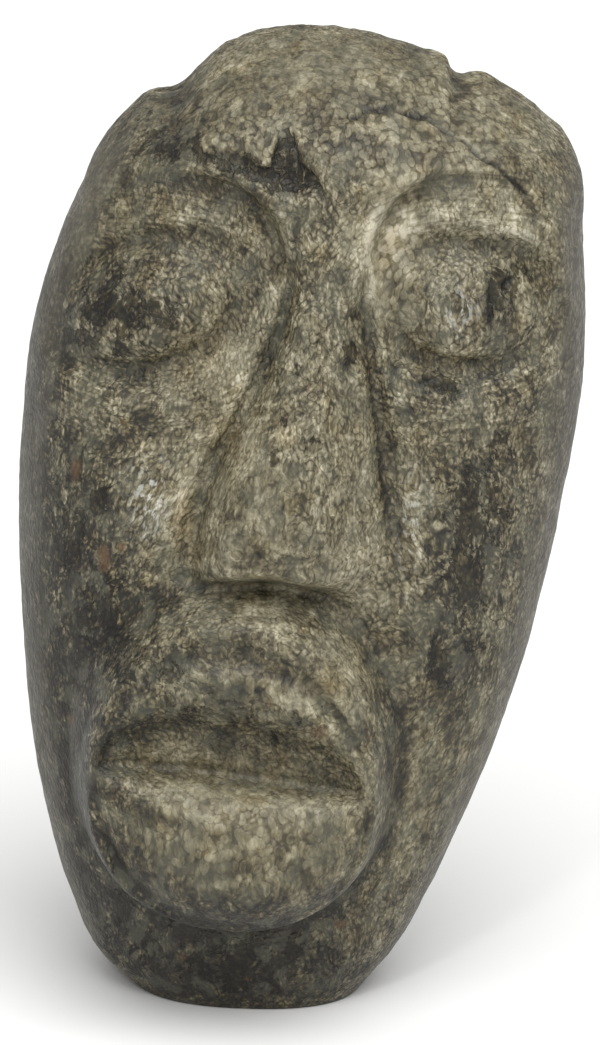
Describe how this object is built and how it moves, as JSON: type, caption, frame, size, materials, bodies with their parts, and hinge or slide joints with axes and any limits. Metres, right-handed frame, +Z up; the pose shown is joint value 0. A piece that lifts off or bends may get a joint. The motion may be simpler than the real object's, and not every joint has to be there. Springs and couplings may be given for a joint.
{
  "type": "bone face carving",
  "caption": "Long heavy face with bulging blank eyes, a wedge nose and a jutting drum-like mouth, cut in the round from dense old bone, standing on its flat-cut chin.",
  "frame": {"origin": "on the surface the carving stands on, under the middle of its bounding box", "axes": "+Z up from the cut chin to the broken crown, -Y the way the face looks, +X to the viewer's right"},
  "size_m": [0.0624, 0.047, 0.11],
  "materials": {
    "bone": "dense mineralised bone, grey-green and cream, worn to a soft polish over coarse pores"
  },
  "bodies": {
    "root": {"face_carving": "bone"}
  },
  "joints": []
}
